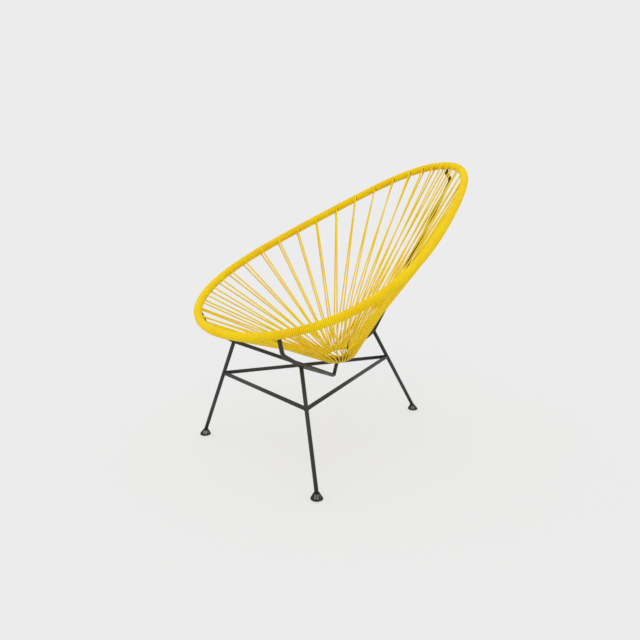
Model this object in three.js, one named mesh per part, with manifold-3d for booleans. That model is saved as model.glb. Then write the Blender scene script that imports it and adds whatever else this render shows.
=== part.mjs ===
// Acapulco lounge chair: a closed bent rim and a small hub ring, strung with PVC cord, on a bent rod base.
// Millimetres, +Z up. The seat faces -Y, the mirror plane is X = 0 and the floor is Z = 0.
import * as THREE from "three";
import { mergeVertices } from "three/addons/utils/BufferGeometryUtils.js";
import Module from "manifold-3d";

const wasm = await Module();
wasm.setup();

// Rim: an egg-shaped loop, low at the front lip and high at the back
const rimHalfWidth = 344.9;
const rimHalfLength = 487.5;
const rimRearShift = 95.5;
const rimMiddleY = -7.2;
const rimLipHeight = 442.2;
const rimTopHeight = 889;
const rimSideRise = 22.1;
const rimRodDiameter = 16;
const rimWidthShares = [0.932, 0.222, 0.069];
const rimLengthShare = 0.0257;
const rimRiseShare = 0.0076;

// Cord, its wrap round the rim and the pairs strung to the hub
const cordDiameter = 5;
const hubLoopGap = 0.5;
const wrapTurns = [6, 11, 11, 11, 11, 11, 11, 11, 11, 14, 16, 15, 16, 16, 17, 16, 16, 15, 13, 10, 8, 7];
const lastWrapTurns = 3;

// Hub ring, seated on the spine's lower run
const hubRodDiameter = 10;
const hubCentreY = -29.2;
const hubTilt = THREE.MathUtils.degToRad(13);

// Base rods: spine with its post, two arms, three legs and three braces
const frameRodDiameter = 12;
const apexY = -51.1;
const apexHeight = 218;
const postTopY = -37.2;
const postTopHeight = 262;
const rearLegTopY = 130;
const rearLegTopHeight = 340.4;
const spineBulgeBack = 27;
const spineBulgeDrop = 48;
const spineHookDrop = 28;
const frontLegTopX = 171.9;
const frontLegTopY = -326.2;
const frontLegTopHeight = 348.6;
const armBendX = 190.5;
const armBendY = -405.5;
const armBendHeight = 399.5;
const armRimTurns = 43.9;
const braceHeight = 235.1;
const frontFootX = 296.4;
const frontFootY = -372.5;
const rearFootY = 344.1;
const armKneeRadius = 30;
const armBendRadius = 50;
const legTopBendRadius = 40;
const postBendRadius = 14;
const bulgeBendRadius = 16;
const hookBendRadius = 12;

// Ribbed feet, whose soles are narrower than their brims
const footDiameter = 36;
const footSoleDiameter = 27;
const footHeight = 20;
const footBrimHeight = 2.6;
const footBrimThickness = 1.4;
const footCollarDiameter = 17;
const footCoreDiameter = 29;
const footRibThickness = 3;
const footRibEdgeHeight = 5.6;
const footRibInset = 0.3;
const footRibCount = 8;
const legCrossHeight = 13.5;
const legEndHeight = 10;

// Clearances
const weldGap = 0.3;
const wrapClearance = 0.35;
const strandMargin = 0.2;
const endSetback = 2;
const cutOverrun = 40;

// Facets
const rimSides = 8;
const cordSides = 5;
const rodSides = 10;
const hubSides = 8;
const hubSegments = 40;
const hubLoopSteps = 4;
const bendStep = THREE.MathUtils.degToRad(16);
const footSegments = 24;
const rimSamples = 1440;
const middleShare = 0.5;
const halfSpaceShare = 4;

const rimRodRadius = rimRodDiameter / 2;
const cordRadius = cordDiameter / 2;
const hubRodRadius = hubRodDiameter / 2;
const frameRodRadius = frameRodDiameter / 2;
const wrapRadius = rimRodRadius + cordDiameter;
const strandOffset = rimRodRadius + cordRadius + wrapClearance;
const strandInset = cordRadius + strandMargin;
const pairCount = wrapTurns.length;
const zAxis = new THREE.Vector3(0, 0, 1);

const cordPaint = { color: 0xebc80f, roughness: 0.38, metalness: 0 };
const steelPaint = { color: 0x3b3937, roughness: 0.5, metalness: 0.5 };
const rubberPaint = { color: 0x2c2c2b, roughness: 0.85, metalness: 0 };

function vec(x, y, z) {
  return new THREE.Vector3(x, y, z);
}

function mirrored(point) {
  return vec(-point.x, point.y, point.z);
}

function perpendicular(vector, axis) {
  return vector.clone().addScaledVector(axis, -vector.dot(axis)).normalize();
}

// Solids and meshes

function solidOf(geometry, matrix = new THREE.Matrix4()) {
  const bare = geometry.clone().applyMatrix4(matrix);
  bare.deleteAttribute("normal");
  bare.deleteAttribute("uv");
  const merged = mergeVertices(bare);
  return new wasm.Manifold(
    new wasm.Mesh({
      numProp: 3,
      vertProperties: new Float32Array(merged.attributes.position.array),
      triVerts: new Uint32Array(merged.index.array),
    }),
  );
}

function largestBody(solid) {
  return solid.decompose().reduce((kept, body) => (body.volume() > kept.volume() ? body : kept));
}

function meshOf(name, solid, paint) {
  const data = largestBody(solid).getMesh();
  const geometry = new THREE.BufferGeometry();
  geometry.setAttribute("position", new THREE.BufferAttribute(data.vertProperties, data.numProp));
  geometry.setIndex(new THREE.BufferAttribute(data.triVerts, 1));
  geometry.computeVertexNormals();
  const mesh = new THREE.Mesh(geometry, new THREE.MeshStandardMaterial(paint));
  mesh.name = name;
  return mesh;
}

// Rings of points joined one to the next, and the last to the first
function solidOfRings(rings) {
  const sides = rings[0].length;
  const triangles = [];
  rings.forEach((ring, i) => {
    const here = i * sides;
    const ahead = ((i + 1) % rings.length) * sides;
    ring.forEach((point, j) => {
      const k = (j + 1) % sides;
      triangles.push(here + j, here + k, ahead + k);
      triangles.push(here + j, ahead + k, ahead + j);
    });
  });
  const geometry = new THREE.BufferGeometry().setFromPoints(rings.flat());
  geometry.setIndex(triangles);
  return solidOf(geometry);
}

// A polygon round a station, whose normal and binormal are square to the path
function ringAt(station, radius, sides) {
  return Array.from({ length: sides }, (unused, j) => {
    const angle = (j * Math.PI * 2) / sides;
    return station.centre
      .clone()
      .addScaledVector(station.normal, radius * Math.cos(angle))
      .addScaledVector(station.binormal, radius * Math.sin(angle));
  });
}

// A curve through chosen stations, so that an extrusion has one section at each of them
class StationCurve extends THREE.Curve {
  constructor(points) {
    super();
    this.points = points;
  }
  getPointAt(share) {
    return this.points[Math.round(share * (this.points.length - 1))].clone();
  }
  getTangentAt(share, target = vec(0, 0, 0)) {
    const i = Math.round(share * (this.points.length - 1));
    const before = this.points[Math.max(i - 1, 0)];
    const here = this.points[i];
    const after = this.points[Math.min(i + 1, this.points.length - 1)];
    const arriving = here.clone().sub(before).normalize();
    const leaving = after.clone().sub(here).normalize();
    return target.copy(arriving.add(leaving)).normalize();
  }
}

function circleShape(radius, sides) {
  const corners = Array.from({ length: sides }, (unused, j) => {
    const angle = (j * Math.PI * 2) / sides;
    return new THREE.Vector2(radius * Math.cos(angle), radius * Math.sin(angle));
  });
  return new THREE.Shape(corners);
}

function bentRod(points, radius, sides = rodSides) {
  const path = new StationCurve(points);
  const settings = { steps: points.length - 1, extrudePath: path };
  return solidOf(new THREE.ExtrudeGeometry(circleShape(radius, sides), settings));
}

// Corners rounded to arcs of the given radii, stepped by angle
function bentRoute(corners, radii) {
  const route = [corners[0]];
  radii.forEach((radius, i) => {
    const corner = corners[i + 1];
    const back = corners[i].clone().sub(corner).normalize();
    const forth = corners[i + 2].clone().sub(corner).normalize();
    const turn = Math.PI - back.angleTo(forth);
    const middle = back.clone().add(forth).normalize();
    const centre = corner.clone().addScaledVector(middle, radius / Math.cos(turn / 2));
    const start = corner.clone().addScaledVector(back, radius * Math.tan(turn / 2));
    const axis = forth.clone().cross(back).normalize();
    const steps = Math.max(1, Math.ceil(turn / bendStep));
    for (let j = 0; j <= steps; j += 1) {
      const spoke = start.clone().sub(centre).applyAxisAngle(axis, (turn * j) / steps);
      route.push(centre.clone().add(spoke));
    }
  });
  route.push(corners[corners.length - 1]);
  return route;
}

function pointTowards(from, to, distance) {
  return from.clone().addScaledVector(to.clone().sub(from).normalize(), distance);
}

// Both ends moved along the line, inwards by positive distances
function straightRod(from, to, radius, startInset, endInset) {
  const start = pointTowards(from, to, startInset);
  const end = pointTowards(to, from, endInset);
  const length = start.distanceTo(end);
  const direction = end.clone().sub(start).normalize();
  const turn = new THREE.Quaternion().setFromUnitVectors(vec(0, 1, 0), direction);
  const middle = start.clone().lerp(end, middleShare);
  const matrix = new THREE.Matrix4().compose(middle, turn, vec(1, 1, 1));
  return solidOf(new THREE.CylinderGeometry(radius, radius, length, rodSides), matrix);
}

// Rim curve, from the front lip at angle 0 to the top at half a turn

function rimPoint(angle) {
  const swing = (share) => (1 - share) * Math.cos(angle) + share * Math.cos(3 * angle);
  const side = Math.sin(angle) ** 2;
  const halfRise = (rimTopHeight - rimLipHeight) / 2;
  const x = rimWidthShares.reduce((sum, share, i) => sum + share * Math.sin((i + 1) * angle), 0);
  const y = rimMiddleY + rimRearShift * side - rimHalfLength * swing(rimLengthShare);
  const z = (rimTopHeight + rimLipHeight) / 2 - halfRise * swing(rimRiseShare) + rimSideRise * side;
  return vec(rimHalfWidth * x, y, z);
}

const rimDistances = [0];
for (let i = 1; i <= rimSamples; i += 1) {
  const step = rimPoint((i * Math.PI) / rimSamples).distanceTo(rimPoint(((i - 1) * Math.PI) / rimSamples));
  rimDistances.push(rimDistances[i - 1] + step);
}
const rimHalfGirth = rimDistances[rimSamples];

// The curve's angle at a distance along the rim from the lip, negative on the side of -X
function rimAngle(distance) {
  const reach = Math.abs(distance);
  const after = Math.max(1, rimDistances.findIndex((d) => d >= reach - rimHalfGirth / rimSamples ** 2));
  const span = rimDistances[after] - rimDistances[after - 1];
  const share = (reach - rimDistances[after - 1]) / span;
  return (Math.sign(distance) * (after - 1 + share) * Math.PI) / rimSamples;
}

// Hub ring: its inner edge holds every loop side by side, with room for the rods in the mirror plane

const turnTotal = wrapTurns.reduce((sum, turns) => sum + turns, lastWrapTurns);
const wrapPitch = rimHalfGirth / turnTotal;
const hubRodRoom = frameRodRadius + cordRadius + weldGap;
const hubLoopPitch = cordDiameter + hubLoopGap;
const loopCentreRadius = (2 * hubRodRoom + (pairCount - 1) * hubLoopPitch) / Math.PI;
const hubLoopOffset = hubRodRadius + cordRadius + weldGap;
const hubRadius = loopCentreRadius + hubLoopOffset;
const firstLoopAngle = Math.asin(hubRodRoom / loopCentreRadius);
const runSlope = Math.atan2(rearLegTopHeight - postTopHeight, rearLegTopY - postTopY);
const hubRearY = hubCentreY + hubRadius * Math.cos(hubTilt);
const hubSeatRise = (hubRodRadius + frameRodRadius + weldGap) / Math.cos(runSlope);
const hubRearHeight = postTopHeight + (hubRearY - postTopY) * Math.tan(runSlope) + hubSeatRise;
const hubCentre = vec(0, hubCentreY, hubRearHeight - hubRadius * Math.sin(hubTilt));
const hubForward = vec(0, -Math.cos(hubTilt), -Math.sin(hubTilt));

function hubPoint(angle) {
  return hubCentre
    .clone()
    .addScaledVector(vec(1, 0, 0), hubRadius * Math.sin(angle))
    .addScaledVector(hubForward, hubRadius * Math.cos(angle));
}

function hubTangent(angle) {
  return vec(Math.cos(angle), 0, 0).addScaledVector(hubForward, -Math.sin(angle)).normalize();
}

function makeHubRing(radius) {
  const turn = new THREE.Matrix4().makeRotationX(hubTilt).setPosition(hubCentre);
  return solidOf(new THREE.TorusGeometry(hubRadius, radius, hubSides, hubSegments), turn);
}

// Rim stations: one where each unit's wrap starts, just before its strung pair, and one midway to the next

function rimStation(distance) {
  const angle = rimAngle(distance);
  const nudge = Math.PI / rimSamples;
  const centre = rimPoint(angle);
  const tangent = rimPoint(angle + nudge).sub(rimPoint(angle - nudge)).normalize();
  const normal = perpendicular(centre.clone().sub(hubCentre), tangent);
  const binormal = tangent.clone().cross(normal);
  return { centre, tangent, normal, binormal };
}

function stationBetween(from, to, distance) {
  const share = distance / from.centre.distanceTo(to.centre);
  const blend = (key) => from[key].clone().lerp(to[key], share);
  return { centre: blend("centre"), normal: blend("normal"), binormal: blend("binormal") };
}

function pairDistances() {
  let turns = 0;
  const rightSide = wrapTurns.map((count) => {
    turns += count;
    return turns * wrapPitch;
  });
  const leftSide = rightSide.map((distance) => 2 * rimHalfGirth - distance).reverse();
  return [...rightSide, ...leftSide];
}

// Distances run once round the rim, so those past the top lie on the side of -X
function stationRound(distance) {
  const whole = 2 * rimHalfGirth;
  const wrapped = distance > whole ? distance - whole : distance;
  return rimStation(wrapped > rimHalfGirth ? wrapped - whole : wrapped);
}

function makeUnitStations() {
  const starts = pairDistances().map((distance) => distance - strandInset);
  return starts.map((distance, i) => {
    const next = i + 1 < starts.length ? starts[i + 1] : starts[0] + 2 * rimHalfGirth;
    return { start: stationRound(distance), middle: stationRound((distance + next) / 2) };
  });
}

function makeRimRod(radius) {
  const rings = unitStations.flatMap((unit) => [unit.start, unit.middle]);
  return solidOfRings(rings.map((station) => ringAt(station, radius, rimSides)));
}

// The wrap of one unit: a sleeve from its own start to just short of the next
function makeSleeve(index) {
  const { start, middle } = unitStations[index];
  const next = unitStations[(index + 1) % unitStations.length].start;
  const stations = [start, middle, stationBetween(next, middle, weldGap)];
  const outer = stations.map((station) => ringAt(station, wrapRadius, rimSides));
  const inner = stations.map((station) => ringAt(station, rimRodRadius + wrapClearance, rimSides));
  return solidOfRings([...outer, ...inner.reverse()]);
}

// One strung pair: off the top of the rim, down to the hub ring, round its inner side and back under the rim

function hubAngle(index) {
  const count = unitStations.length;
  const onRight = index < pairCount;
  const rank = onRight ? index : count - 1 - index;
  const spread = (Math.PI - 2 * firstLoopAngle) / (pairCount - 1);
  const angle = firstLoopAngle + rank * spread;
  return onRight ? angle : -angle;
}

// Square to a rod: the way towards the other end of the pair, and the upward way across it
function loopFrame(centre, target, tangent) {
  const towards = perpendicular(target.clone().sub(centre), tangent);
  const across = tangent.clone().cross(towards);
  const upward = across.z > 0 ? across : across.negate();
  return { towards, upward };
}

function pairRoute(index) {
  const { start, middle } = unitStations[index];
  const rimTangent = middle.centre.clone().sub(start.centre).normalize();
  const rimCentre = pointTowards(start.centre, middle.centre, strandInset);
  const angle = hubAngle(index);
  const hub = hubPoint(angle);
  const rimFrame = loopFrame(rimCentre, hub, rimTangent);
  const hubFrame = loopFrame(hub, rimCentre, hubTangent(angle));
  const cornerRadius = hubLoopOffset / Math.cos(Math.PI / hubLoopSteps / 2);
  const route = [rimCentre.clone().addScaledVector(rimFrame.upward, strandOffset)];
  for (let i = 0; i <= hubLoopSteps; i += 1) {
    const turn = (i * Math.PI) / hubLoopSteps;
    const stop = hub.clone().addScaledVector(hubFrame.upward, cornerRadius * Math.cos(turn));
    route.push(stop.addScaledVector(hubFrame.towards, -cornerRadius * Math.sin(turn)));
  }
  route.push(rimCentre.clone().addScaledVector(rimFrame.upward, -strandOffset));
  return route;
}

function makeHairpin(index, radius) {
  return bentRod(pairRoute(index), radius, cordSides);
}

// Points close together along every strung pair, and the least gap between two pairs
function leastCordGap() {
  const runs = unitStations.map((unit, index) => {
    const route = pairRoute(index);
    return route.slice(1).flatMap((next, i) => {
      const point = route[i];
      const steps = Math.ceil(point.distanceTo(next) / cordDiameter);
      return Array.from({ length: steps }, (unused, j) => point.clone().lerp(next, j / steps));
    });
  });
  let least = Infinity;
  runs.forEach((run, i) => {
    const other = runs[(i + 1) % runs.length];
    run.forEach((point) => other.forEach((far) => (least = Math.min(least, point.distanceTo(far)))));
  });
  return least - cordDiameter;
}

// Base frame

const apex = vec(0, apexY, apexHeight);
const postTop = vec(0, postTopY, postTopHeight);
const rearLegTop = vec(0, rearLegTopY, rearLegTopHeight);
const rimTop = rimPoint(Math.PI);
const frontLegTop = vec(frontLegTopX, frontLegTopY, frontLegTopHeight);
const armBend = vec(armBendX, armBendY, armBendHeight);
const frontFoot = vec(frontFootX, frontFootY, 0);
const rearFoot = vec(0, rearFootY, 0);
const unitStations = makeUnitStations();

function spineRoute() {
  const corners = [
    pointTowards(rimTop, vec(rimTop.x, rimTop.y, 0), endSetback),
    vec(0, rimTop.y, rimTop.z - spineHookDrop),
    vec(0, rimTop.y + spineBulgeBack, rimTop.z - spineBulgeDrop),
    rearLegTop,
    postTop,
    pointTowards(apex, postTop, endSetback),
  ];
  const radii = [hookBendRadius, bulgeBendRadius, legTopBendRadius, postBendRadius];
  return bentRoute(corners, radii);
}

function armRoute() {
  const rimEnd = rimStation(armRimTurns * wrapPitch).centre;
  const start = pointTowards(apex, frontLegTop, -cutOverrun);
  const end = pointTowards(rimEnd, armBend, endSetback);
  return bentRoute([start, frontLegTop, armBend, end], [armKneeRadius, armBendRadius]);
}

// Everything on one side of the mirror plane, held back by half a gap
function halfSpace(side) {
  const size = halfSpaceShare * rimHalfLength;
  const matrix = new THREE.Matrix4().makeTranslation((side * (size + weldGap)) / 2, 0, 0);
  return solidOf(new THREE.BoxGeometry(size, size, size), matrix);
}

function makeArm(side, radius) {
  const route = armRoute().map((point) => (side > 0 ? point : mirrored(point)));
  return bentRod(route, radius).intersect(halfSpace(side));
}

function legCross(foot) {
  return foot.clone().addScaledVector(zAxis, legCrossHeight);
}

// A wider copy of a leg, made as a cutter, is longer by as much as its radius is larger
function makeLeg(foot, top, radius, endInset) {
  const cross = legCross(foot);
  const rise = (top.z - cross.z) / top.distanceTo(cross);
  const startInset = (legEndHeight - legCrossHeight) / rise - (radius - frameRodRadius);
  return straightRod(cross, top, radius, startInset, endInset);
}

function onLeg(foot, top, height) {
  const cross = legCross(foot);
  return cross.clone().lerp(top, (height - cross.z) / (top.z - cross.z));
}

// A ribbed cone on a brim and a flat sole, leaning with its leg
function makeFoot(foot, top) {
  const radius = footDiameter / 2;
  const collar = footCollarDiameter / 2;
  const brimTop = footBrimHeight + footBrimThickness;
  const profile = [
    [0, 0],
    [footSoleDiameter / 2, 0],
    [radius, footBrimHeight],
    [radius, brimTop],
    [footCoreDiameter / 2, brimTop],
    [collar, footHeight],
    [0, footHeight],
  ];
  const core = new THREE.LatheGeometry(profile.map(([x, y]) => new THREE.Vector2(x, y)), footSegments);
  const upright = new THREE.Matrix4().makeRotationX(Math.PI / 2);
  const rib = new THREE.Shape();
  rib.moveTo(0, footBrimHeight);
  rib.lineTo(radius - footRibInset, footBrimHeight);
  rib.lineTo(radius - footRibInset, footRibEdgeHeight);
  rib.lineTo(collar + footRibInset, footHeight - footRibInset);
  rib.lineTo(0, footHeight - footRibInset);
  const fin = new THREE.ExtrudeGeometry(rib, { depth: footRibThickness, bevelEnabled: false });
  fin.translate(0, 0, -footRibThickness / 2);
  let body = solidOf(core, upright);
  for (let i = 0; i < footRibCount; i += 1) {
    const turn = new THREE.Matrix4().makeRotationZ((i * 2 * Math.PI) / footRibCount);
    body = body.add(solidOf(fin, turn.multiply(upright)));
  }
  const axis = onLeg(foot, top, footHeight).sub(legCross(foot).setZ(footHeight));
  const lean = new THREE.Matrix4().set(
    1, 0, axis.x / footHeight, 0,
    0, 1, axis.y / footHeight, 0,
    0, 0, 1, 0,
    0, 0, 0, 1,
  );
  const placed = body.transform(lean.toArray());
  const leg = makeLeg(vec(0, 0, 0), top.clone().sub(foot), frameRodRadius + weldGap, endSetback);
  return placed.subtract(leg);
}

// Cord units

function cordUnits() {
  const clearRadius = cordRadius + weldGap;
  const frameCutters = [
    bentRod(spineRoute(), frameRodRadius + weldGap),
    makeArm(1, frameRodRadius + weldGap),
    makeArm(-1, frameRodRadius + weldGap),
  ];
  const frameCutter = frameCutters.reduce((joined, rod) => joined.add(rod));
  return unitStations.map((unit, index) => {
    const next = (index + 1) % unitStations.length;
    const sleeve = makeSleeve(index).subtract(makeHairpin(next, clearRadius)).subtract(frameCutter);
    const solid = largestBody(sleeve).add(makeHairpin(index, cordRadius));
    return meshOf("seat_cord_" + String(index + 1).padStart(2, "0"), solid, cordPaint);
  });
}

// Assembly

const seat = new THREE.Group();
const base = new THREE.Group();
const gapRadius = frameRodRadius + weldGap;

seat.add(meshOf("rim_rod", makeRimRod(rimRodRadius), steelPaint));
seat.add(meshOf("hub_ring", makeHubRing(hubRodRadius), steelPaint));
seat.add(...cordUnits());

const rimCutter = makeRimRod(rimRodRadius + weldGap);
const armCutters = [makeArm(1, gapRadius), makeArm(-1, gapRadius)];
const spineCutter = bentRod(spineRoute(), gapRadius);

const spine = bentRod(spineRoute(), frameRodRadius).subtract(rimCutter).subtract(armCutters[0]);
base.add(meshOf("spine", spine.subtract(armCutters[1]), steelPaint));

const stub = straightRod(postTop, hubPoint(0), frameRodRadius, endSetback, endSetback);
const stubCut = stub.subtract(spineCutter).subtract(makeHubRing(hubRodRadius + weldGap));
base.add(meshOf("hub_stub", stubCut, steelPaint));

const sides = [
  { suffix: "left", sign: 1 },
  { suffix: "right", sign: -1 },
];
const frontLegCutters = [];
sides.forEach(({ suffix, sign }) => {
  const foot = sign > 0 ? frontFoot : mirrored(frontFoot);
  const top = sign > 0 ? frontLegTop : mirrored(frontLegTop);
  const arm = makeArm(sign, frameRodRadius).subtract(rimCutter);
  const leg = makeLeg(foot, top, frameRodRadius, endSetback).subtract(makeArm(sign, gapRadius));
  frontLegCutters.push(makeLeg(foot, top, gapRadius, 0));
  base.add(meshOf("arm_" + suffix, arm, steelPaint));
  base.add(meshOf("leg_front_" + suffix, leg, steelPaint));
});
const rearLegCutter = makeLeg(rearFoot, rearLegTop, gapRadius, 0);
const rearLeg = makeLeg(rearFoot, rearLegTop, frameRodRadius, endSetback).subtract(spineCutter);
base.add(meshOf("leg_rear", rearLeg, steelPaint));

const frontCorner = onLeg(frontFoot, frontLegTop, braceHeight);
const rearCorner = onLeg(rearFoot, rearLegTop, braceHeight);
const frontBraceEnds = [frontCorner, mirrored(frontCorner)];
const frontBrace = straightRod(...frontBraceEnds, frameRodRadius, endSetback, endSetback);
const frontBraceCutter = straightRod(...frontBraceEnds, gapRadius, 0, 0);
const frontBraceCut = frontBrace.subtract(frontLegCutters[0]).subtract(frontLegCutters[1]);
base.add(meshOf("brace_front", frontBraceCut, steelPaint));
sides.forEach(({ suffix, sign }, i) => {
  const corner = frontBraceEnds[i];
  const brace = straightRod(corner, rearCorner, frameRodRadius, endSetback, endSetback)
    .intersect(halfSpace(sign))
    .subtract(frontLegCutters[i])
    .subtract(frontBraceCutter)
    .subtract(rearLegCutter);
  base.add(meshOf("brace_" + suffix, brace, steelPaint));
});

const feet = [
  { name: "foot_front_left", foot: frontFoot, top: frontLegTop },
  { name: "foot_front_right", foot: mirrored(frontFoot), top: mirrored(frontLegTop) },
  { name: "foot_rear", foot: rearFoot, top: rearLegTop },
];
feet.forEach(({ name, foot, top }) => {
  const mesh = meshOf(name, makeFoot(foot, top), rubberPaint);
  mesh.position.copy(foot);
  base.add(mesh);
});

console.log("least gap between cords " + leastCordGap().toFixed(2) + " mm");

const chair = new THREE.Group();
chair.add(seat, base);

export default chair;
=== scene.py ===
import math

import bmesh
import bpy
from mathutils import Matrix, Vector
from mathutils.geometry import intersect_point_line


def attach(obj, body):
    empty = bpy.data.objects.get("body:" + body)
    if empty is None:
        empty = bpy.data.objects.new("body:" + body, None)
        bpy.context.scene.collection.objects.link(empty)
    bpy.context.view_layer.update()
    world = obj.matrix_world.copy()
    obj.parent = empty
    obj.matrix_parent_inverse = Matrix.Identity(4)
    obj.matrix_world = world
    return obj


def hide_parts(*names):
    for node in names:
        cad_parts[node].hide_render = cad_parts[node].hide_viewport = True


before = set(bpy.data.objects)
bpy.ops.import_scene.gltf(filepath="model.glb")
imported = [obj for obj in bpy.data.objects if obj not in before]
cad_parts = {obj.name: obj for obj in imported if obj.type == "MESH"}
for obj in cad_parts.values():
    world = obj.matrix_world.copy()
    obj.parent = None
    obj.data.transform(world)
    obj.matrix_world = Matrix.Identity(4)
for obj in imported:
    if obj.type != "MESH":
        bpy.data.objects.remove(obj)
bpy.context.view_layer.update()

scene = bpy.context.scene
print("frame loaded:", len(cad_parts), "nodes")

# Camera, fitted to the photograph

cameraView = {
    "location": (1.63439, -1.49082, 0.94301),
    "azimuth": 0.86964,
    "elevation": 0.24133,
    "lens": 38.83,
    "sensor": 36,
    "clipEnd": 100,
}


def addCamera(view):
    lens = bpy.data.cameras.new("viewCamera")
    lens.lens = view["lens"]
    lens.sensor_width = view["sensor"]
    lens.clip_end = view["clipEnd"]
    holder = bpy.data.objects.new("viewCamera", lens)
    holder.location = view["location"]
    holder.rotation_euler = (math.pi / 2 - view["elevation"], 0, view["azimuth"])
    scene.collection.objects.link(holder)
    scene.camera = holder


addCamera(cameraView)

# The chair's lines, in metres, as its steel was bent

rimForm = {
    "halfWidth": 0.3449,
    "halfLength": 0.4875,
    "rearShift": 0.0955,
    "middleY": -0.0072,
    "lipHeight": 0.4422,
    "topHeight": 0.889,
    "sideRise": 0.0221,
    "widthShares": (0.932, 0.222, 0.069),
    "lengthShare": 0.0257,
    "riseShare": 0.0076,
    "rodRadius": 0.008,
    "samples": 2880,
}

cordForm = {
    "radius": 0.0025,
    "turns": [6, 11, 11, 11, 11, 11, 11, 11, 11, 14, 16, 15, 16, 16, 17, 16, 16, 15, 13, 10, 8, 7],
    "lastTurns": 3,
    "stepsPerTurn": 10,
    "roundness": 2,
    "spread": 0.42,
    "hubLoopGap": 0.0005,
    "clearance": 0.0003,
    "hubSteps": 9,
    "hubLean": 0.0065,
    "hubLeanStep": 0.0014,
    "hubLeanEase": 0.75,
    "hubShift": 0.002,
}

baseForm = {
    "rodRadius": 0.006,
    "hubRodRadius": 0.005,
    "hubCentreY": -0.0292,
    "hubTilt": math.radians(13),
    "apex": (0, -0.0511, 0.218),
    "postTop": (0, -0.0372, 0.262),
    "rearLegTop": (0, 0.13, 0.3404),
    "bulgeBack": 0.027,
    "bulgeDrop": 0.048,
    "hookDrop": 0.028,
    "frontLegTop": (0.1719, -0.3262, 0.3486),
    "armBend": (0.1905, -0.4055, 0.3995),
    "armRimTurns": 43.9,
    "braceHeight": 0.2351,
    "frontFoot": (0.2964, -0.3725, 0),
    "rearFoot": (0, 0.3441, 0),
    "legCrossHeight": 0.0135,
    "legEndHeight": 0.01,
    "spineBends": {"hook": 0.012, "bulge": 0.016, "legTop": 0.04, "post": 0.014},
    "armBends": {"knee": 0.03, "bend": 0.05, "apex": 0.008},
    "weldGap": 0.0003,
    "bendStep": math.radians(6),
    "hubStops": 96,
    "roundness": 4,
}


def squareTo(vector, axis):
    return (vector - axis * vector.dot(axis)).normalized()


def mirrored(point):
    return Vector((-point[0], point[1], point[2]))


def rimPoint(angle):
    form = rimForm
    side = math.sin(angle) ** 2

    def swing(share):
        return (1 - share) * math.cos(angle) + share * math.cos(3 * angle)

    x = sum(share * math.sin((i + 1) * angle) for i, share in enumerate(form["widthShares"]))
    y = form["middleY"] + form["rearShift"] * side - form["halfLength"] * swing(form["lengthShare"])
    middle = (form["topHeight"] + form["lipHeight"]) / 2
    halfRise = (form["topHeight"] - form["lipHeight"]) / 2
    z = middle - halfRise * swing(form["riseShare"]) + form["sideRise"] * side
    return Vector((form["halfWidth"] * x, y, z))


rimLengths = [0.0]
for i in range(rimForm["samples"]):
    first = rimPoint(math.pi * i / rimForm["samples"])
    second = rimPoint(math.pi * (i + 1) / rimForm["samples"])
    rimLengths.append(rimLengths[-1] + (second - first).length)
halfGirth = rimLengths[-1]


def rimAngle(distance):
    low, high = 0, rimForm["samples"]
    while high - low > 1:
        middle = (low + high) // 2
        low, high = (middle, high) if rimLengths[middle] <= distance else (low, middle)
    share = (distance - rimLengths[low]) / (rimLengths[high] - rimLengths[low])
    return math.pi * (low + share) / rimForm["samples"]


# Distances run once round the rim from the middle of the front lip, first along +X
def rimFrameAt(distance):
    distance %= 2 * halfGirth
    past = distance > halfGirth
    angle = 2 * math.pi - rimAngle(2 * halfGirth - distance) if past else rimAngle(distance)
    nudge = math.pi / rimForm["samples"]
    centre = rimPoint(angle)
    tangent = (rimPoint(angle + nudge) - rimPoint(angle - nudge)).normalized()
    outward = squareTo(centre - hubCentre, tangent)
    return centre, tangent, outward, outward.cross(tangent)


# Hub ring, seated on the spine's lower run
turnTotal = sum(cordForm["turns"]) + cordForm["lastTurns"]
wrapPitch = halfGirth / turnTotal
pairCount = len(cordForm["turns"])
hubRoom = baseForm["rodRadius"] + cordForm["radius"] + baseForm["weldGap"]
loopPitch = 2 * cordForm["radius"] + cordForm["hubLoopGap"]
loopCentreRadius = (2 * hubRoom + (pairCount - 1) * loopPitch) / math.pi
hubRadius = loopCentreRadius + baseForm["hubRodRadius"] + cordForm["radius"] + baseForm["weldGap"]
firstLoopAngle = math.asin(hubRoom / loopCentreRadius)
postTop = Vector(baseForm["postTop"])
rearLegTop = Vector(baseForm["rearLegTop"])
apex = Vector(baseForm["apex"])
runSlope = math.atan2(rearLegTop.z - postTop.z, rearLegTop.y - postTop.y)
hubTilt = baseForm["hubTilt"]
hubRearY = baseForm["hubCentreY"] + hubRadius * math.cos(hubTilt)
seatRise = (baseForm["hubRodRadius"] + baseForm["rodRadius"] + baseForm["weldGap"]) / math.cos(runSlope)
hubRearHeight = postTop.z + (hubRearY - postTop.y) * math.tan(runSlope) + seatRise
hubCentre = Vector((0, baseForm["hubCentreY"], hubRearHeight - hubRadius * math.sin(hubTilt)))
hubForward = Vector((0, -math.cos(hubTilt), -math.sin(hubTilt)))


def hubPoint(angle):
    return hubCentre + hubRadius * (math.sin(angle) * Vector((1, 0, 0)) + math.cos(angle) * hubForward)


def hubTangent(angle):
    return math.cos(angle) * Vector((1, 0, 0)) - math.sin(angle) * hubForward


# Making pieces

mergeDistance = 0.00001


def finishPiece(piece, slotName, material, *nodes):
    piece.data.materials.clear()
    piece.data.materials.append(material)
    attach(piece, "root")
    if nodes:
        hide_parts(*nodes)
    return piece


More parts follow.
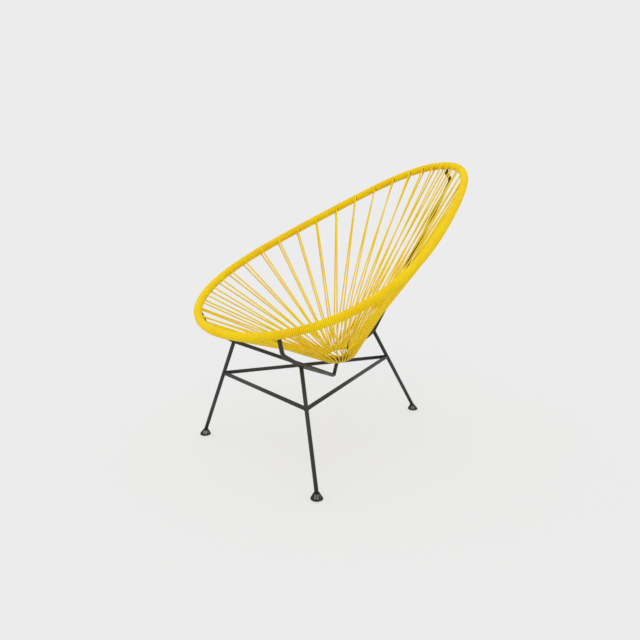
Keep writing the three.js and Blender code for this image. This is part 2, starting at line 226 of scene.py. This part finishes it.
# The tube's flats and corners lie equally far inside and outside its radius
def roundTube(name, points, radius, roundness, closed=False, swell=None):
    sides = 2 * roundness + 4
    path = bpy.data.curves.new(name + "Path", "CURVE")
    path.dimensions = "3D"
    path.bevel_depth = 2 * radius / (1 + math.cos(math.pi / sides))
    path.bevel_resolution = roundness
    path.use_fill_caps = not closed
    path.twist_mode = "MINIMUM"
    spline = path.splines.new("POLY")
    spline.points.add(len(points) - 1)
    for i, (stop, point) in enumerate(zip(spline.points, points)):
        stop.co = (*point, 1)
        stop.radius = swell(i) if swell else 1
    spline.use_cyclic_u = closed
    holder = bpy.data.objects.new(name + "Path", path)
    scene.collection.objects.link(holder)
    shape = bpy.data.meshes.new_from_object(holder.evaluated_get(bpy.context.evaluated_depsgraph_get()))
    bpy.data.objects.remove(holder)
    bpy.data.curves.remove(path)
    shape.name = name
    build = bmesh.new()
    build.from_mesh(shape)
    bmesh.ops.remove_doubles(build, verts=build.verts, dist=mergeDistance)
    bmesh.ops.recalc_face_normals(build, faces=build.faces)
    for face in build.faces:
        face.smooth = len(face.verts) == 4
    build.to_mesh(shape)
    build.free()
    piece = bpy.data.objects.new(name, shape)
    scene.collection.objects.link(piece)
    return piece


# Corners rounded to arcs of the given radii
def bentRoute(corners, radii):
    route = [Vector(corners[0])]
    for i, radius in enumerate(radii):
        corner = Vector(corners[i + 1])
        back = (Vector(corners[i]) - corner).normalized()
        forth = (Vector(corners[i + 2]) - corner).normalized()
        turn = math.pi - back.angle(forth)
        centre = corner + (back + forth).normalized() * radius / math.cos(turn / 2)
        start = corner + back * radius * math.tan(turn / 2) - centre
        ahead = corner + forth * radius * math.tan(turn / 2) - centre
        side = squareTo(ahead, start.normalized()) * radius
        count = max(2, math.ceil(turn / baseForm["bendStep"]))
        for j in range(count + 1):
            angle = turn * j / count
            route.append(centre + start * math.cos(angle) + side * math.sin(angle))
    route.append(Vector(corners[-1]))
    return route


# Colour helpers and the effects that several finishes share


def linear(*shown):
    levels = [v / 12.92 if v <= 0.04045 else ((v + 0.055) / 1.055) ** 2.4 for v in shown]
    return (*levels, 1)


mottleLook = {
    "broadDetail": 3,
    "fineDetail": 4,
    "fineRoughness": 0.6,
    "usualRange": (0.3, 0.7),
}


def makeMottle(look):
    group = bpy.data.node_groups.new("softMottle", "ShaderNodeTree")
    for name in ("Broad Scale", "Fine Scale"):
        group.interface.new_socket(name=name, in_out="INPUT", socket_type="NodeSocketFloat")
    for name in ("Broad", "Fine"):
        group.interface.new_socket(name=name, in_out="OUTPUT", socket_type="NodeSocketFloat")
    nodes, links = group.nodes, group.links
    start = nodes.new("NodeGroupInput")
    end = nodes.new("NodeGroupOutput")
    place = nodes.new("ShaderNodeTexCoord")
    broad = nodes.new("ShaderNodeTexNoise")
    fine = nodes.new("ShaderNodeTexNoise")
    broad.inputs["Detail"].default_value = look["broadDetail"]
    fine.inputs["Detail"].default_value = look["fineDetail"]
    fine.inputs["Roughness"].default_value = look["fineRoughness"]
    for name, noise in (("Broad", broad), ("Fine", fine)):
        links.new(place.outputs["Object"], noise.inputs["Vector"])
        links.new(start.outputs[name + " Scale"], noise.inputs["Scale"])
        links.new(noise.outputs["Fac"], end.inputs[name])
    return group


mottle = makeMottle(mottleLook)


def newFinish(name):
    finish = bpy.data.materials.new(name)
    finish.use_nodes = True
    nodes, links = finish.node_tree.nodes, finish.node_tree.links
    return finish, nodes, links, nodes["Principled BSDF"]


def ramp(nodes, stops):
    band = nodes.new("ShaderNodeValToRGB")
    elements = band.color_ramp.elements
    elements[0].position, elements[0].color = stops[0]
    elements[1].position, elements[1].color = stops[-1]
    for position, colour in stops[1:-1]:
        elements.new(position).color = colour
    return band


def spread(nodes, fromRange, toRange):
    span = nodes.new("ShaderNodeMapRange")
    span.inputs["From Min"].default_value, span.inputs["From Max"].default_value = fromRange
    span.inputs["To Min"].default_value, span.inputs["To Max"].default_value = toRange
    return span


# Colour by the broad mottle, roughness by either, and the fine mottle as a bump
def mottledFinish(name, look):
    finish, nodes, links, shader = newFinish(name)
    effect = nodes.new("ShaderNodeGroup")
    effect.node_tree = mottle
    effect.inputs["Broad Scale"].default_value = look["broadScale"]
    effect.inputs["Fine Scale"].default_value = look["fineScale"]
    tint = ramp(nodes, look["tints"])
    gloss = spread(nodes, mottleLook["usualRange"], look["roughness"])
    bump = nodes.new("ShaderNodeBump")
    bump.inputs["Strength"].default_value = look["bump"]
    bump.inputs["Distance"].default_value = look["bumpDistance"]
    links.new(effect.outputs["Broad"], tint.inputs["Fac"])
    links.new(tint.outputs["Color"], shader.inputs["Base Color"])
    links.new(effect.outputs[look["glossFrom"]], gloss.inputs["Value"])
    links.new(gloss.outputs["Result"], shader.inputs["Roughness"])
    links.new(effect.outputs["Fine"], bump.inputs["Height"])
    links.new(bump.outputs["Normal"], shader.inputs["Normal"])
    return finish, shader, effect, tint


cordFinish = {
    "tints": [
        (0.3, linear(0.945, 0.785, 0.008)),
        (0.5, linear(0.955, 0.825, 0.01)),
        (0.72, linear(0.965, 0.85, 0.02)),
    ],
    "roughness": (0.38, 0.52),
    "glossFrom": "Fine",
    "specular": 0.18,
    "broadScale": 9,
    "fineScale": 420,
    "bump": 0.12,
    "bumpDistance": 0.0002,
    "skinLight": 0.15,
    "skinScale": 0.002,
    "skinDepth": (1, 0.95, 0.1),
}


def makeCordMaterial(look):
    finish, shader = mottledFinish("yellowCord", look)[:2]
    shader.inputs["Specular IOR Level"].default_value = look["specular"]
    shader.inputs["Subsurface Weight"].default_value = look["skinLight"]
    shader.inputs["Subsurface Scale"].default_value = look["skinScale"]
    shader.inputs["Subsurface Radius"].default_value = look["skinDepth"]
    return finish


steelFinish = {
    "tints": [(0.32, linear(0.125, 0.12, 0.115)), (0.68, linear(0.175, 0.17, 0.165))],
    "roughness": (0.42, 0.58),
    "glossFrom": "Broad",
    "broadScale": 14,
    "fineScale": 900,
    "bump": 0.35,
    "bumpDistance": 0.00012,
}

footFinish = {
    "tints": [(0.3, linear(0.12, 0.12, 0.115)), (0.7, linear(0.19, 0.19, 0.18))],
    "dust": linear(0.36, 0.35, 0.33),
    "dustHeight": 0.006,
    "dustCover": 0.55,
    "roughness": (0.62, 0.82),
    "glossFrom": "Broad",
    "broadScale": 40,
    "fineScale": 1400,
    "bump": 0.3,
    "bumpDistance": 0.0002,
}

# Between the ribs: a pale grey painted highlight, standing in for the light that shows in the recesses
recessHighlightFinish = {
    **footFinish,
    "tints": [(0.3, linear(0.42, 0.42, 0.39)), (0.7, linear(0.66, 0.66, 0.62))],
    "dust": linear(0.74, 0.73, 0.69),
}


# Dust thins out from the floor up
def makeFootMaterial(name, look):
    finish, shader, effect, tint = mottledFinish(name, look)
    nodes, links = finish.node_tree.nodes, finish.node_tree.links
    place = nodes.new("ShaderNodeTexCoord")
    split = nodes.new("ShaderNodeSeparateXYZ")
    fade = spread(nodes, (0, look["dustHeight"]), (look["dustCover"], 0))
    soil = nodes.new("ShaderNodeMath")
    soil.operation = "MULTIPLY"
    blend = nodes.new("ShaderNodeMix")
    blend.data_type = "RGBA"
    blend.inputs["B"].default_value = look["dust"]
    links.new(place.outputs["Object"], split.inputs["Vector"])
    links.new(split.outputs["Z"], fade.inputs["Value"])
    links.new(fade.outputs["Result"], soil.inputs[0])
    links.new(effect.outputs["Fine"], soil.inputs[1])
    links.new(tint.outputs["Color"], blend.inputs["A"])
    links.new(soil.outputs["Value"], blend.inputs["Factor"])
    links.new(blend.outputs["Result"], shader.inputs["Base Color"])
    return finish


yellowCord = makeCordMaterial(cordFinish)
charcoalSteel = mottledFinish("charcoalPowderCoat", steelFinish)[0]
blackRubber = makeFootMaterial("blackRubber", footFinish)
# The recesses' material carries the pale grey painted highlight between the ribs
paintedHighlightRubber = makeFootMaterial("paintedHighlightRubber", recessHighlightFinish)
print("finishes made")

# Cord: each repeat runs from the top of the rim under the hub ring, back over it to the rim's
# underside, and winds on to the next


def pairPlaces():
    places, turns = [], 0
    for count in cordForm["turns"]:
        turns += count
        places.append(turns)
    return places + [2 * turnTotal - place for place in reversed(places)]


def hubAngle(index, count):
    onRight = index < pairCount
    rank = index if onRight else count - 1 - index
    angle = firstLoopAngle + rank * (math.pi - 2 * firstLoopAngle) / (pairCount - 1)
    angle += cordForm["hubShift"] * math.sin(math.pi * rank / (pairCount - 1)) / hubRadius
    return angle if onRight else -angle


def upwardAcross(centre, target, tangent):
    towards = squareTo(target - centre, tangent)
    across = tangent.cross(towards)
    return towards, across if across.z > 0 else -across


def strandEnd(distance, hub, side):
    centre, tangent, outward, upward = rimFrameAt(distance)
    across = upwardAcross(centre, hub, tangent)[1] * side
    reach = rimForm["rodRadius"] + cordForm["radius"]
    return centre + across * reach, math.atan2(across.dot(outward), across.dot(upward))


# A stop on the wrap; its angle about the rim rod is 0 at the top and a quarter turn outside
# On the inner side the turns spread a little, to close the place that the strung pair leaves
def windStop(distance, angle, share):
    inner = max(0, -math.sin(angle)) * (2 * share - 1) * cordForm["spread"] * wrapPitch
    centre, tangent, outward, upward = rimFrameAt(distance + inner)
    reach = rimForm["rodRadius"] + cordForm["radius"]
    return centre + reach * (math.cos(angle) * upward + math.sin(angle) * outward)


# Winding on: up over the outside and down the inside of the rim
def windOn(start, end, startAngle, endAngle):
    steps = max(2, round((startAngle - endAngle) / (2 * math.pi) * cordForm["stepsPerTurn"]))
    route = []
    for i in range(steps + 1):
        share = i / steps
        distance = start + (end - start) * share
        angle = startAngle + (endAngle - startAngle) * share
        route.append(windStop(distance, angle, share))
    return route


# Each loop leans along the ring, from its lower side to its upper one, less where a rod lies below
def roundHub(index, count, rimCentre):
    angle = hubAngle(index, count)
    upper = cordForm["hubLean"]
    lower = min(upper, cordForm["hubLeanStep"] * (index % pairCount))
    ease = cordForm["hubLeanEase"]
    reach = baseForm["hubRodRadius"] + cordForm["radius"] + cordForm["clearance"]
    route = []
    for i in range(cordForm["hubSteps"] + 1):
        share = 2 * i / cordForm["hubSteps"] - 1
        turn = math.pi * (1 - share) / 2
        lean = lower if share < 0 else upper
        here = angle + lean * (ease * share + (1 - ease) * share**3) / hubRadius
        hub = hubPoint(here)
        towards, upward = upwardAcross(hub, rimCentre, hubTangent(here))
        route.append(hub + reach * (math.cos(turn) * upward - math.sin(turn) * towards))
    return route


# The first stop only leads in from the repeat before
def cordRepeat(index, places):
    count = len(places)
    here = places[index]
    following = places[index + 1] if index + 1 < count else places[0] + 2 * turnTotal
    hub = hubPoint(hubAngle(index, count))
    nextHub = hubPoint(hubAngle((index + 1) % count, count))
    quarter = wrapPitch / 4
    leaveAt, arriveAt = here * wrapPitch - quarter, here * wrapPitch + quarter
    nextLeaveAt = following * wrapPitch - quarter
    leave, leaveAngle = strandEnd(leaveAt, hub, 1)
    arriveAngle = strandEnd(arriveAt, hub, -1)[1] % (2 * math.pi)
    nextAngle = strandEnd(nextLeaveAt, nextHub, 1)[1] - 2 * math.pi * (following - here - 1)
    stepShare = 1 / cordForm["stepsPerTurn"]
    leadIn = windStop(leaveAt - wrapPitch * stepShare, leaveAngle + 2 * math.pi * stepShare, 0)
    strung = roundHub(index, count, rimFrameAt(here * wrapPitch)[0])
    return [leadIn, leave] + strung + windOn(arriveAt, nextLeaveAt, arriveAngle, nextAngle)


places = pairPlaces()
cordLength = 0
for index in range(len(places)):
    route = cordRepeat(index, places)
    cordLength += sum((b - a).length for a, b in zip(route[1:], route[2:]))
    name = "cordRepeat_%02d" % (index + 1)
    piece = roundTube(name, route, cordForm["radius"], cordForm["roundness"])
    finishPiece(piece, "cord", yellowCord, "seat_cord_%02d" % (index + 1))
print("cord strung: %d repeats, %.1f m in all" % (len(places), cordLength))

# Steel rods


def legCross(foot):
    return Vector(foot) + Vector((0, 0, baseForm["legCrossHeight"]))


def legEnds(foot, top):
    cross = legCross(foot)
    direction = (Vector(top) - cross).normalized()
    drop = (baseForm["legCrossHeight"] - baseForm["legEndHeight"]) / direction.z
    return [cross - direction * drop, Vector(top)]


def onLeg(foot, top, height):
    cross = legCross(foot)
    return cross.lerp(Vector(top), (height - cross.z) / (top[2] - cross.z))


def makeRod(name, points, *nodes):
    piece = roundTube(name, points, baseForm["rodRadius"], baseForm["roundness"])
    return finishPiece(piece, "steel", charcoalSteel, *nodes)


rimTop = rimPoint(math.pi)
spineCorners = [
    rimTop,
    rimTop - Vector((0, 0, baseForm["hookDrop"])),
    rimTop + Vector((0, baseForm["bulgeBack"], -baseForm["bulgeDrop"])),
    rearLegTop,
    postTop,
    apex,
]
spineRoute = bentRoute(spineCorners, list(baseForm["spineBends"].values()))
makeRod("spineRod", spineRoute, "spine")

armBend = Vector(baseForm["armBend"])
armEnd = rimFrameAt(baseForm["armRimTurns"] * wrapPitch)[0]
frontTop = Vector(baseForm["frontLegTop"])
halfArm = [armEnd, armBend, frontTop]
armCorners = halfArm + [apex] + [mirrored(corner) for corner in reversed(halfArm)]
knee, bend, tip = (baseForm["armBends"][name] for name in ("knee", "bend", "apex"))
armsRoute = bentRoute(armCorners, [bend, knee, tip, knee, bend])
makeRod("frontArms", armsRoute, "arm_left", "arm_right")

frontFoot = Vector(baseForm["frontFoot"])
rearFoot = Vector(baseForm["rearFoot"])
makeRod("legFrontLeft", legEnds(frontFoot, frontTop), "leg_front_left")
makeRod("legFrontRight", legEnds(mirrored(frontFoot), mirrored(frontTop)), "leg_front_right")
makeRod("legRear", legEnds(rearFoot, rearLegTop), "leg_rear")
frontCorner = onLeg(frontFoot, frontTop, baseForm["braceHeight"])
rearCorner = onLeg(rearFoot, rearLegTop, baseForm["braceHeight"])
makeRod("braceFront", [frontCorner, mirrored(frontCorner)], "brace_front")
makeRod("braceLeft", [frontCorner, rearCorner], "brace_left")
makeRod("braceRight", [mirrored(frontCorner), rearCorner], "brace_right")
makeRod("hubStub", [postTop, hubPoint(0)], "hub_stub")

hubStops = [hubPoint(2 * math.pi * i / baseForm["hubStops"]) for i in range(baseForm["hubStops"])]
hubPiece = roundTube("hubRing", hubStops, baseForm["hubRodRadius"], baseForm["roundness"], closed=True)
finishPiece(hubPiece, "steel", charcoalSteel, "hub_ring")
print("rods made")

# Welds: a bead along the line where the surface of a rod's end meets the other rod

weldForm = {
    "beadRadius": 0.0014,
    "stops": 36,
    "ripple": 0.14,
    "ripples": 9,
    "roundness": 2,
    "reach": 0.03,
    "halvings": 14,
}


def distanceTo(route, point):
    distances = []
    for a, b in zip(route, route[1:]):
        share = intersect_point_line(point, a, b)[1]
        distances.append((a.lerp(b, min(1, max(0, share))) - point).length)
    return min(distances)


# The stops run round the rod; one that doesn't meet the other rod is None
def weldLine(start, towards, route, otherRadius):
    direction = (towards - start).normalized()
    side = direction.orthogonal().normalized()
    across = direction.cross(side)
    line = []
    for i in range(weldForm["stops"]):
        turn = 2 * math.pi * i / weldForm["stops"]
        edge = start + baseForm["rodRadius"] * (math.cos(turn) * side + math.sin(turn) * across)
        near, far = 0, weldForm["reach"]
        for halving in range(weldForm["halvings"]):
            middle = (near + far) / 2
            inside = distanceTo(route, edge + direction * middle) < otherRadius
            near, far = (middle, far) if inside else (near, middle)
        meets = distanceTo(route, edge) < otherRadius + weldForm["beadRadius"]
        line.append(edge + direction * near if meets else None)
    return line


def rippled(stop):
    turn = 2 * math.pi * weldForm["ripples"] * stop / weldForm["stops"]
    return 1 + weldForm["ripple"] * math.sin(turn)


# Where only a part of the rod's end meets the other, the bead is open
def addWeld(name, start, towards, route, otherRadius):
    line = weldLine(start, towards, route, otherRadius)
    missed = [i for i, stop in enumerate(line) if stop is None]
    if missed:
        line = [stop for stop in line[missed[0] :] + line[: missed[0]] if stop is not None]
    bead = roundTube(name, line, weldForm["beadRadius"], weldForm["roundness"], not missed, rippled)
    finishPiece(bead, "steel", charcoalSteel)


rod = baseForm["rodRadius"]
legLeft = legEnds(frontFoot, frontTop)
legRight = [mirrored(point) for point in legLeft]
legBack = legEnds(rearFoot, rearLegTop)
hubLoop = hubStops + hubStops[:1]
joints = [
    ("weldBraceFrontLeft", frontCorner, mirrored(frontCorner), legLeft, rod),
    ("weldBraceFrontRight", mirrored(frontCorner), frontCorner, legRight, rod),
    ("weldBraceLeft", frontCorner, rearCorner, legLeft, rod),
    ("weldBraceRight", mirrored(frontCorner), rearCorner, legRight, rod),
    ("weldBraceLeftRear", rearCorner, frontCorner, legBack, rod),
    ("weldBraceRightRear", rearCorner, mirrored(frontCorner), legBack, rod),
    ("weldLegFrontLeft", frontTop, frontFoot, armsRoute, rod),
    ("weldLegFrontRight", mirrored(frontTop), mirrored(frontFoot), armsRoute, rod),
    ("weldLegRear", rearLegTop, rearFoot, spineRoute, rod),
    ("weldPostFoot", apex, postTop, armsRoute, rod),
    ("weldStub", hubPoint(0), postTop, hubLoop, baseForm["hubRodRadius"]),
    ("weldStubFoot", postTop, hubPoint(0), spineRoute, rod),
]
for joint in joints:
    addWeld(*joint)
print("welds laid:", len(joints))

# Feet: a ribbed cone on a brim, leaning with its leg

footForm = {
    "soleRadius": 0.0135,
    "brimRadius": 0.018,
    "brimHeight": 0.0026,
    "brimThickness": 0.0014,
    "coreRadius": 0.0122,
    "recessHeight": 0.0062,
    "waistRadius": 0.0088,
    "waistHeight": 0.0125,
    "collarRadius": 0.0085,
    "collarHeight": 0.0172,
    "height": 0.02,
    "ribCount": 8,
    "ribThickness": 0.0022,
    "ribInset": 0.0003,
    "ribEdgeHeight": 0.0056,
    "ribRoot": 0.001,
    "edgeRound": 0.0004,
    "edgeSegments": 2,
    "sharpAngle": math.radians(35),
    "segments": 48,
}


def footCore(form):
    build = bmesh.new()
    brimTop = form["brimHeight"] + form["brimThickness"]
    profile = [
        (0, 0),
        (form["soleRadius"], 0),
        (form["brimRadius"], form["brimHeight"]),
        (form["brimRadius"], brimTop),
        (form["coreRadius"], brimTop),
        (form["coreRadius"], form["recessHeight"]),
        (form["waistRadius"], form["waistHeight"]),
        (form["collarRadius"], form["collarHeight"]),
        (form["collarRadius"], form["height"]),
        (0, form["height"]),
    ]
    stops = [build.verts.new((x, 0, z)) for x, z in profile]
    for pair in zip(stops, stops[1:]):
        build.edges.new(pair)
    bmesh.ops.bevel(
        build,
        geom=stops[1:5],
        offset=form["edgeRound"],
        segments=form["edgeSegments"],
        profile=0.5,
        affect="VERTICES",
        material=-1,
    )
    bmesh.ops.spin(
        build,
        geom=build.verts[:] + build.edges[:],
        cent=(0, 0, 0),
        axis=(0, 0, 1),
        angle=2 * math.pi,
        steps=form["segments"],
        use_merge=True,
    )
    bmesh.ops.remove_doubles(build, verts=build.verts, dist=mergeDistance)
    # Faces from the recess up to the collar take the second slot, the pale painted highlight between
    # the ribs
    for face in build.faces:
        middle = face.calc_center_median().z
        face.material_index = 1 if form["recessHeight"] < middle < form["collarHeight"] else 0
    return build


def addRib(build, form, turn):
    inset, half = form["ribInset"], form["ribThickness"] / 2
    outline = [
        (form["ribRoot"], form["brimHeight"]),
        (form["brimRadius"] - inset, form["brimHeight"]),
        (form["brimRadius"] - inset, form["ribEdgeHeight"]),
        (form["collarRadius"] + inset, form["height"] - inset),
        (form["ribRoot"], form["height"] - inset),
    ]
    rib = bmesh.new()
    face = rib.faces.new([rib.verts.new((x, -half, z)) for x, z in outline])
    grown = bmesh.ops.extrude_face_region(rib, geom=[face])["geom"]
    moved = [item for item in grown if isinstance(item, bmesh.types.BMVert)]
    bmesh.ops.translate(rib, verts=moved, vec=(0, 2 * half, 0))
    bmesh.ops.bevel(
        rib,
        geom=rib.edges[:],
        offset=form["edgeRound"],
        segments=form["edgeSegments"],
        profile=0.5,
        affect="EDGES",
        material=-1,
    )
    bmesh.ops.rotate(rib, verts=rib.verts, cent=(0, 0, 0), matrix=Matrix.Rotation(turn, 3, "Z"))
    shape = bpy.data.meshes.new("rib")
    rib.to_mesh(shape)
    rib.free()
    build.from_mesh(shape)
    bpy.data.meshes.remove(shape)


def makeFoot(name, foot, top, node):
    form = footForm
    build = footCore(form)
    for i in range(form["ribCount"]):
        addRib(build, form, 2 * math.pi * i / form["ribCount"])
    lean = (onLeg(foot, top, form["height"]) - legCross(foot)) / form["height"]
    shear = Matrix(((1, 0, lean.x, 0), (0, 1, lean.y, 0), (0, 0, 1, 0), (0, 0, 0, 1)))
    bmesh.ops.transform(build, matrix=Matrix.Translation(foot) @ shear, verts=build.verts)
    bmesh.ops.recalc_face_normals(build, faces=build.faces)
    shape = bpy.data.meshes.new(name)
    piece = bpy.data.objects.new(name, shape)
    scene.collection.objects.link(piece)
    finishPiece(piece, "foot", blackRubber, node)
    # The second slot holds the pale painted highlight of the recesses between the ribs
    shape.materials.append(paintedHighlightRubber)
    build.to_mesh(shape)
    build.free()
    shape.shade_smooth()
    shape.set_sharp_from_angle(angle=form["sharpAngle"])


makeFoot("footFrontLeft", frontFoot, frontTop, "foot_front_left")
makeFoot("footFrontRight", mirrored(frontFoot), mirrored(frontTop), "foot_front_right")
makeFoot("footRear", rearFoot, rearLegTop, "foot_rear")
print("feet made")

# The rim rod stays as it is, inside its wrap
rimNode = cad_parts["rim_rod"]
rimNode.data.materials.clear()
rimNode.data.materials.append(charcoalSteel)

# Floor, backdrop and light

stageLook = {
    "background": linear(0.925, 0.925, 0.925),
    "floorColour": linear(0.925, 0.925, 0.925),
    "floorPlain": 0.65,
    "floorRoughness": 0.9,
    "floorSpecular": 0.1,
    "floorSize": 60,
    "floorDrop": 0.0002,
    "skyStrength": 0.84,
}


# One for the rays that see the background: camera, glossy and transmission rays
def seenRays(nodes, links):
    rays = nodes.new("ShaderNodeLightPath")
    either = nodes.new("ShaderNodeMath")
    either.operation = "MAXIMUM"
    anyOf = nodes.new("ShaderNodeMath")
    anyOf.operation = "MAXIMUM"
    links.new(rays.outputs["Is Camera Ray"], either.inputs[0])
    links.new(rays.outputs["Is Glossy Ray"], either.inputs[1])
    links.new(either.outputs["Value"], anyOf.inputs[0])
    links.new(rays.outputs["Is Transmission Ray"], anyOf.inputs[1])
    return anyOf.outputs["Value"]


def addFloor(look):
    build = bmesh.new()
    bmesh.ops.create_grid(build, x_segments=1, y_segments=1, size=look["floorSize"] / 2)
    shape = bpy.data.meshes.new("floor")
    build.to_mesh(shape)
    build.free()
    floor = bpy.data.objects.new("floor", shape)
    floor.location.z = -look["floorDrop"]
    scene.collection.objects.link(floor)
    finish, nodes, links, shader = newFinish("paleFloor")
    shader.inputs["Base Color"].default_value = look["floorColour"]
    shader.inputs["Roughness"].default_value = look["floorRoughness"]
    shader.inputs["Specular IOR Level"].default_value = look["floorSpecular"]
    plain = nodes.new("ShaderNodeEmission")
    plain.inputs["Color"].default_value = look["background"]
    part = nodes.new("ShaderNodeMath")
    part.operation = "MULTIPLY"
    part.inputs[1].default_value = look["floorPlain"]
    mix = nodes.new("ShaderNodeMixShader")
    links.new(seenRays(nodes, links), part.inputs[0])
    links.new(part.outputs["Value"], mix.inputs["Fac"])
    links.new(shader.outputs["BSDF"], mix.inputs[1])
    links.new(plain.outputs["Emission"], mix.inputs[2])
    links.new(mix.outputs["Shader"], nodes["Material Output"].inputs["Surface"])
    shape.materials.append(finish)


def addSky(look):
    world = bpy.data.worlds.new("studioSky")
    scene.world = world
    world.use_nodes = True
    nodes, links = world.node_tree.nodes, world.node_tree.links
    nodes.clear()
    end = nodes.new("ShaderNodeOutputWorld")
    shown = nodes.new("ShaderNodeBackground")
    shown.inputs["Color"].default_value = look["background"]
    shown.inputs["Strength"].default_value = 1
    lit = nodes.new("ShaderNodeBackground")
    lit.inputs["Color"].default_value = (1, 1, 1, 1)
    lit.inputs["Strength"].default_value = look["skyStrength"]
    mix = nodes.new("ShaderNodeMixShader")
    links.new(seenRays(nodes, links), mix.inputs["Fac"])
    links.new(lit.outputs["Background"], mix.inputs[1])
    links.new(shown.outputs["Background"], mix.inputs[2])
    links.new(mix.outputs["Shader"], end.inputs["Surface"])


lamps = {
    "key": {"strength": 0.5, "angle": 50, "turn": (48, 0, 45)},
    "fill": {"strength": 0.25, "angle": 60, "turn": (40, 0, -60)},
}


def addLamps(table):
    for name, look in table.items():
        lamp = bpy.data.lights.new(name, "SUN")
        lamp.energy = look["strength"]
        lamp.angle = math.radians(look["angle"])
        holder = bpy.data.objects.new(name, lamp)
        holder.rotation_euler = [math.radians(v) for v in look["turn"]]
        scene.collection.objects.link(holder)


addFloor(stageLook)
addSky(stageLook)
addLamps(lamps)
scene.view_settings.view_transform = "Standard"
print("stage lit")
